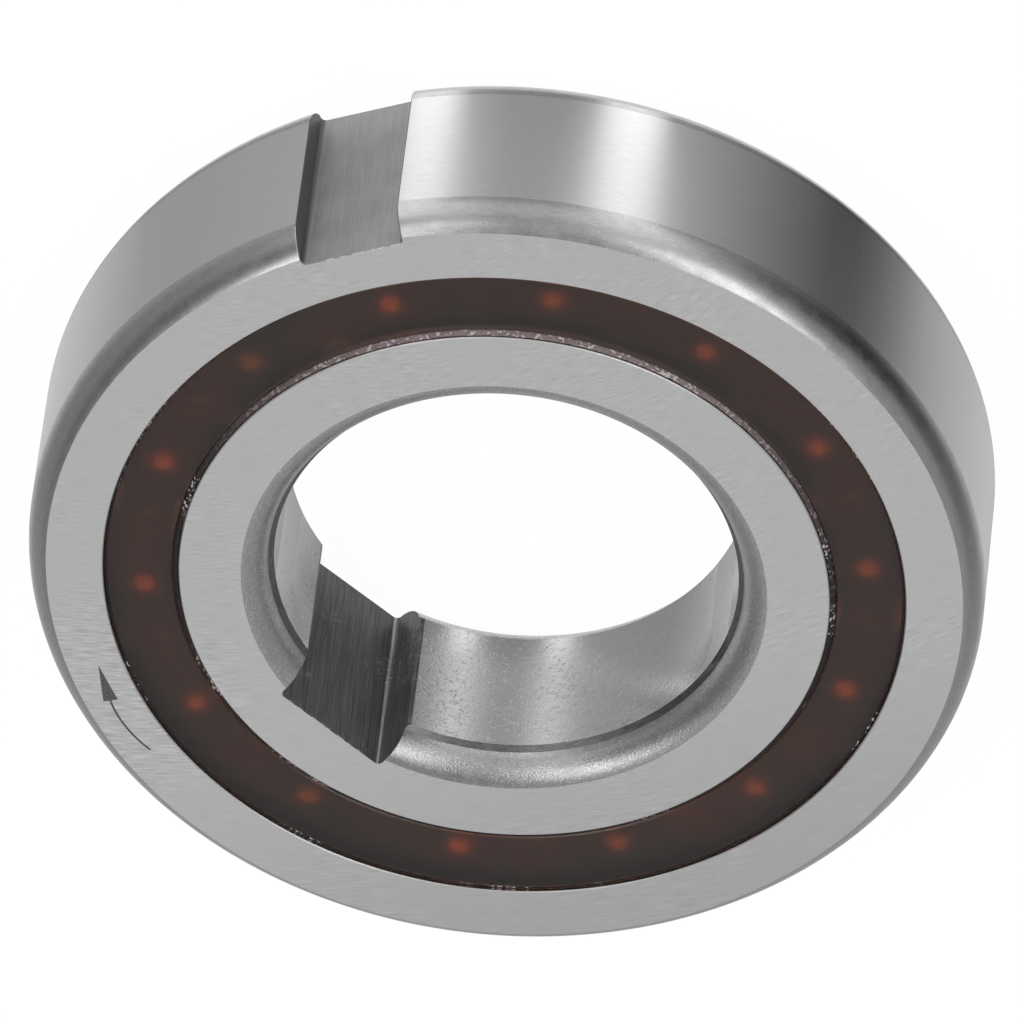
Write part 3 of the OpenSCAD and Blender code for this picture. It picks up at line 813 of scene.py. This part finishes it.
# Garter springs
# Fine steel wire, coiled and closed to a ring, in place of the plain rings of the CAD model.
# One lies in the sprags' rebates at each end and tips them against the tracks.
spring_material, tree = new_material("spring_steel")
drawn = noise(tree, object_place(tree), 2.0, 0.6, 2500.0)
steel(tree, fade(tree, drawn, 0.3, 0.7, 0.42, 0.55), fade(tree, drawn, 0.3, 0.7, 0.32, 0.22))


def coil(name, ring_r, height, coil_r, wire_r, turns, per_turn=14, sides=5):
    """Closed tube round a helix that is bent into a ring. The helix's middle goes round the
    ring once while its arm, coil_r minus wire_r long, turns so many times; the tube's section
    is a small circle square to the way."""
    count = turns * per_turn
    t = np.arange(count) / count * TURN
    spin = t * turns
    out = np.stack([np.cos(t), np.sin(t), np.zeros(count)], axis=1)
    up = np.array([0.0, 0.0, 1.0])
    reach = coil_r - wire_r
    arm = np.cos(spin)[:, None] * out + np.sin(spin)[:, None] * up
    middle = ring_r * out + height * up + reach * arm
    way = np.roll(middle, -1, axis=0) - np.roll(middle, 1, axis=0)
    way /= np.linalg.norm(way, axis=1, keepdims=True)
    side = arm - np.sum(arm * way, axis=1, keepdims=True) * way
    side /= np.linalg.norm(side, axis=1, keepdims=True)
    third = np.cross(way, side)
    a = np.arange(sides) / sides * TURN
    points = (middle[:, None, :] + wire_r * (np.cos(a)[None, :, None] * side[:, None, :]
                                             + np.sin(a)[None, :, None] * third[:, None, :]))
    # Each face starts at its second corner, so that its diagonal follows the wire's twist
    faces = weave(count, sides)[:, [1, 2, 3, 0]]
    mesh = new_mesh(name, points, faces.tolist())
    mesh.shade_smooth()
    return mesh


coil_r, wire_r, coil_turns = 0.45, 0.075, 420
for side in ("front", "back"):
    low, high = np.array(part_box(side + "_spring")) / MM
    spring = add_piece(side + "_garter_coil", coil(
        side + "_garter_coil", high[0] - coil_r, (low[2] + high[2]) / 2, coil_r, wire_r,
        coil_turns), [spring_material])
    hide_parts(side + "_spring")
    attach(spring, "cage_set")

# Shields
# Moulded from a dark, slightly see-through brown plastic and snapped into the outer ring.
# The pins' heads show through the front one, lit through it and partly painted bright.
shield_material, tree = new_material("shield_plastic")
place = object_place(tree)
flow = noise(tree, place, 3.0, 0.6, 130.0)
grain = noise(tree, place, 3.0, 0.7, 2500.0)
base = mix(tree, fade(tree, flow, 0.35, 0.65), (0.46, 0.31, 0.22, 1), (0.66, 0.31, 0.23, 1))
surface(tree, plastic(tree, base, fade(tree, grain, 0.3, 0.7, 0.28, 0.36), grain, 0.002,
                      IOR=1.45, **{"Transmission Weight": 1.0}))
refinish(shield_material, "front_shield", "back_shield")

# Flash of the shields
# The mould left a thin ragged lip round each shield's bore and rim, speckled, and paler over one
# side of the bore's lips.
flash_material, tree = new_material("shield_flash")
place = object_place(tree)
axes = split(tree, place)
around = compass(tree, axes[0], axes[1])
# The bore's lips are paler from about 160 to 325 degrees round the axis, most between 225 and 260
pale_side = calc(tree, "MULTIPLY", fade(tree, around, 0.45, 0.62), fade(tree, around, 0.72, 0.9, 1, 0))
pale_side = calc(tree, "MULTIPLY", pale_side, fade(tree, use(tree, round_place, "Radius"), 26, 28, 1, 0))
speckle = noise(tree, place, 2.0, 0.6, 3200.0)
scarce = fade(tree, noise(tree, place, 1.0, 0.5, 160.0), 0.56, 0.64)
base = mix(tree, pale_side, (0.026, 0.022, 0.022, 1), (0.23, 0.175, 0.18, 1))
base = mix(tree, fade(tree, speckle, 0.44, 0.54, 0.0, 0.45), base, (0.012, 0.010, 0.010, 1))
base = mix(tree, calc(tree, "MULTIPLY", fade(tree, speckle, 0.54, 0.60),
                      calc(tree, "MAXIMUM", pale_side, scarce)), base, (0.50, 0.45, 0.46, 1))
surface(tree, plastic(tree, base, 0.6, speckle, 0.02, IOR=1.3))


def ragged_lip(name, root_r, tip_r, height, rise, thick, seed, steps=900):
    """Ring with a flat round section that reaches from root_r to tip_r and rises on the way.
    Its reach and height waver round the ring by sums of waves with whole numbers of turns
    and seeded phases."""
    sides = 8
    rng = np.random.default_rng(seed)
    phi = np.linspace(0, TURN, steps, endpoint=False)
    turns = np.array([3, 7, 19, 43, 97, 151, 211])
    ragged, wavy = [np.sum(np.sin(phi[:, None] * turns + rng.uniform(0, TURN, len(turns))) / 3.5,
                           axis=1) for part in range(2)]
    reach = (tip_r - root_r) * (0.94 + 0.06 * np.clip(ragged, -1, 1))
    centre = height + 0.025 * wavy
    a = np.linspace(0, TURN, sides, endpoint=False)
    out = (1 - np.cos(a)) / 2
    up = np.sin(a) * thick / 2
    radius = root_r + reach[None, :] * out[:, None]
    points = np.stack([radius * np.cos(phi), radius * np.sin(phi),
                       centre[None, :] + rise * out[:, None]
                       + up[:, None] * (1 - 0.6 * out[:, None])], axis=2)
    faces = weave(sides, steps)
    if tip_r > root_r:
        faces = faces[:, ::-1]
    mesh = new_mesh(name, points, faces.tolist())
    mesh.shade_smooth()
    return mesh


# Each lip's root and tip radius, height, rise and thickness in mm, and its seed
lips = {"front_bore_lip": (24.98, 24.53, 16.56, 0.28, 0.12, 3),
        "front_rim_lip": (29.98, 30.15, 16.62, 0.0, 0.10, 5),
        "back_bore_lip": (24.98, 24.53, 0.44, -0.28, 0.12, 7),
        "back_rim_lip": (29.98, 30.15, 0.38, 0.0, 0.10, 9)}
for name, numbers in lips.items():
    lip = add_piece(name, ragged_lip(name, *numbers), [flash_material])
    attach(lip, "housing")

# Direction arrow
# Burnt dark into the outer ring's front face by a laser: the way this ring turns free.
# It is a thin plate with its top a little proud of the face.
mark_material, tree = new_material("laser_mark")
burnt = noise(tree, object_place(tree), 2.0, 0.6, 4000.0)
base = mix(tree, fade(tree, burnt, 0.3, 0.7), grey(0.060), grey(0.095))
surface(tree, plastic(tree, base, 0.55, burnt, 0.004))


def arrow_mark(name, tip, base, head_w, centre, radius, start, end, shaft_w, low, high):
    """Thin plate along a way, as a grid of rows by four corners. The way runs straight from
    the head's tip to its base, half a width growing from a point, and then along an arc about
    centre at the shaft's width."""
    head_way = (base - tip) / abs(base - tip)
    arc_rows, point_half_w = 24, 0.012
    bend = np.radians(np.linspace(start, end, arc_rows))
    middle = np.concatenate([[tip, base, base + 0.01 * head_way],
                             centre + radius * np.exp(1j * bend)])
    out = np.concatenate([[-1j * head_way] * 3, np.exp(1j * bend)])
    half = np.concatenate([[point_half_w, head_w / 2], np.full(arc_rows + 1, shaft_w / 2)])
    left, right = middle - half * out, middle + half * out
    corners = [(left, low), (left, high), (right, high), (right, low)]
    points = np.stack([np.stack([side.real, side.imag, np.full(len(side), z)], axis=1)
                       for side, z in corners], axis=1)
    last = 4 * (len(middle) - 1)
    ends = [[3, 2, 1, 0], [last, last + 1, last + 2, last + 3]]
    return new_mesh(name, points, weave(len(middle), 4, closed=False).tolist() + ends)


arrow = add_piece("direction_arrow", arrow_mark(
    "direction_arrow", tip=32.13 - 0.98j, base=32.43 + 2.485j, head_w=1.13,
    centre=22.27 + 2.99j, radius=10.2, start=-2.5, end=28.9, shaft_w=0.17,
    low=ring_w - 0.004, high=ring_w + 0.006), [mark_material])
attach(arrow, "housing")
